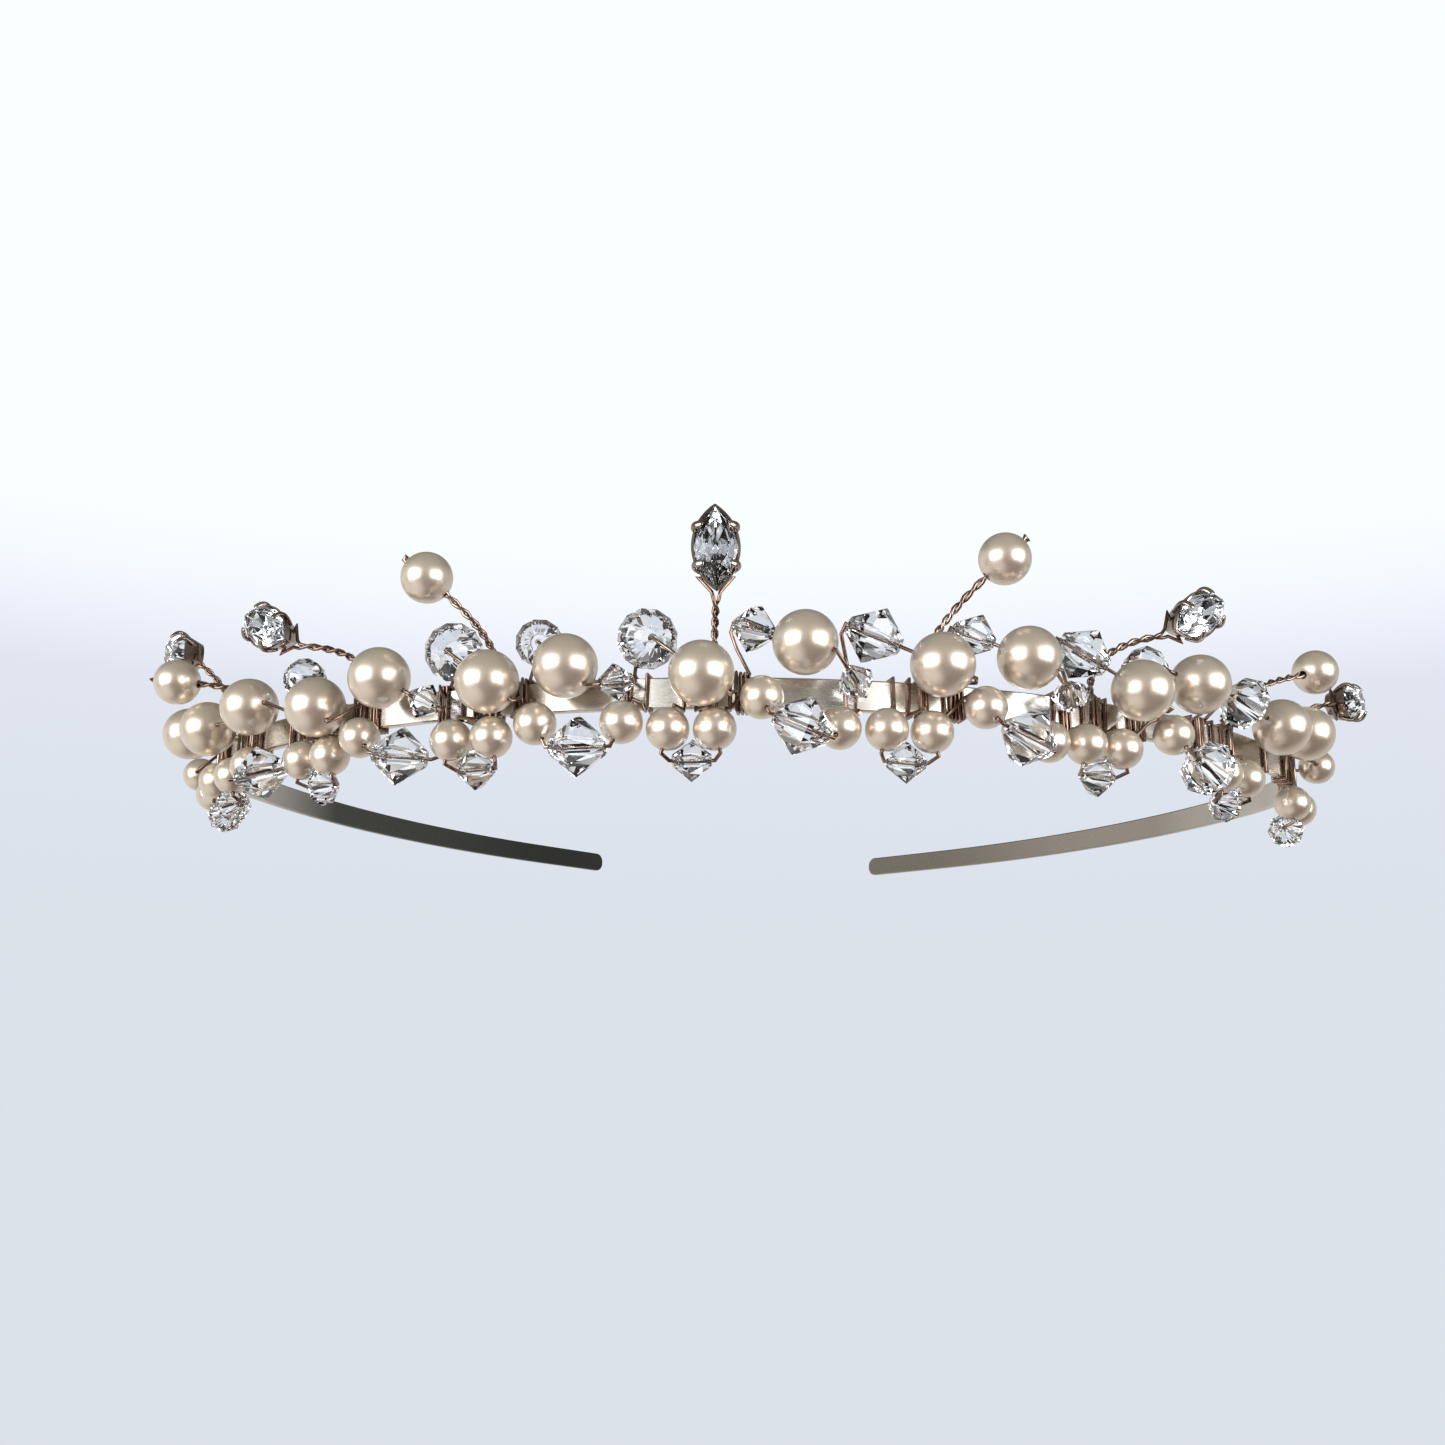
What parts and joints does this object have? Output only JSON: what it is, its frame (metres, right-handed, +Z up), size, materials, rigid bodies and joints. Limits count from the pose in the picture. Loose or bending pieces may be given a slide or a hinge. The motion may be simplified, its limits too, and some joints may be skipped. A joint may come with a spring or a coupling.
{
  "type": "bridal tiara",
  "caption": "Bridal tiara: slim metal headband wired with champagne pearls, clear faceted beads and claw-set navettes on twisted stalks.",
  "frame": {"origin": "centre of the bounding box's foot, at the level of the lowest drop beads, on which the tiara stands", "axes": "+Z up; the decorated front faces -Y and the open back faces +Y; +X is the wearer's left; the strip lies level"},
  "size_m": [0.1414, 0.1342, 0.0261],
  "materials": {
    "strip": "satin silver plate",
    "binding_wire": "warm rose-brown lacquered wire",
    "pearl": "pearlescent champagne",
    "crystal": "clear faceted",
    "setting": "polished silver plate"
  },
  "bodies": {
    "tiara": {"band": "strip", "drop_1_pearls": "pearl", "drop_1_wire": "binding_wire", "drop_2_pearls": "pearl", "drop_2_wire": "binding_wire", "drop_3_pearls": "pearl", "drop_3_wire": "binding_wire", "drop_4_pearls": "pearl", "drop_4_wire": "binding_wire", "drop_5_pearls": "pearl", "drop_5_wire": "binding_wire", "drop_6_pearls": "pearl", "drop_6_wire": "binding_wire", "drop_7_pearls": "pearl", "drop_7_wire": "binding_wire", "drop_8_pearls": "pearl", "drop_8_wire": "binding_wire", "drop_9_pearls": "pearl", "drop_9_wire": "binding_wire", "garland_crystals": "crystal", "garland_pearls": "pearl", "garland_wires": "binding_wire", "laced_bicones": "crystal", "laced_pearls": "pearl", "laced_round_crystals": "crystal", "lacing_wire": "binding_wire", "navette_1_setting": "setting", "navette_1_stalk": "binding_wire", "navette_1_stone": "crystal", "navette_2_setting": "setting", "navette_2_stalk": "binding_wire", "navette_2_stone": "crystal", "navette_3_setting": "setting", "navette_3_stalk": "binding_wire", "navette_3_stone": "crystal", "navette_4_setting": "setting", "navette_4_stalk": "binding_wire", "navette_4_stone": "crystal", "navette_5_setting": "setting", "navette_5_stalk": "binding_wire", "navette_5_stone": "crystal", "stalk_pearl_1": "pearl", "stalk_pearl_1_wire": "binding_wire", "stalk_pearl_2": "pearl", "stalk_pearl_2_wire": "binding_wire", "stalk_pearl_3": "pearl", "stalk_pearl_3_wire": "binding_wire", "stalk_pearl_4": "pearl", "stalk_pearl_4_wire": "binding_wire"},
    "drop_bead_1": {"drop_1_crystal": "crystal"},
    "drop_bead_2": {"drop_2_crystal": "crystal"},
    "drop_bead_3": {"drop_3_crystal": "crystal"},
    "drop_bead_4": {"drop_4_crystal": "crystal"},
    "drop_bead_5": {"drop_5_crystal": "crystal"},
    "drop_bead_6": {"drop_6_crystal": "crystal"},
    "drop_bead_7": {"drop_7_crystal": "crystal"},
    "drop_bead_8": {"drop_8_crystal": "crystal"},
    "drop_bead_9": {"drop_9_crystal": "crystal"}
  },
  "joints": [
    {"name": "drop_bead_1_spin", "type": "hinge", "parent": "tiara", "child": "drop_bead_1", "pos_m": [-0.0615, -0.02473, 0.002], "axis": [0.4476, -0.8942, 0], "continuous": true},
    {"name": "drop_bead_2_spin", "type": "hinge", "parent": "tiara", "child": "drop_bead_2", "pos_m": [-0.05814, -0.03258, 0.002], "axis": [0.6293, -0.7771, 0], "continuous": true},
    {"name": "drop_bead_3_spin", "type": "hinge", "parent": "tiara", "child": "drop_bead_3", "pos_m": [-0.04535, -0.04462, 0.002], "axis": [0.7937, -0.6084, 0], "continuous": true},
    {"name": "drop_bead_4_spin", "type": "hinge", "parent": "tiara", "child": "drop_bead_4", "pos_m": [-0.02847, -0.055, 0.002], "axis": [0.9256, -0.3784, 0], "continuous": true},
    {"name": "drop_bead_5_spin", "type": "hinge", "parent": "tiara", "child": "drop_bead_5", "pos_m": [-0.00816, -0.05963, 0.0023], "axis": [0.9941, -0.1083, 0], "continuous": true},
    {"name": "drop_bead_6_spin", "type": "hinge", "parent": "tiara", "child": "drop_bead_6", "pos_m": [0.01145, -0.05958, 0.0025], "axis": [0.9881, 0.1541, 0], "continuous": true},
    {"name": "drop_bead_7_spin", "type": "hinge", "parent": "tiara", "child": "drop_bead_7", "pos_m": [0.03068, -0.05386, 0.0026], "axis": [0.9117, 0.4108, 0], "continuous": true},
    {"name": "drop_bead_8_spin", "type": "hinge", "parent": "tiara", "child": "drop_bead_8", "pos_m": [0.04679, -0.04373, 0.002], "axis": [0.7786, 0.6276, 0], "continuous": true},
    {"name": "drop_bead_9_spin", "type": "hinge", "parent": "tiara", "child": "drop_bead_9", "pos_m": [0.06019, -0.02679, 0.002], "axis": [0.5167, 0.8561, 0], "continuous": true}
  ]
}
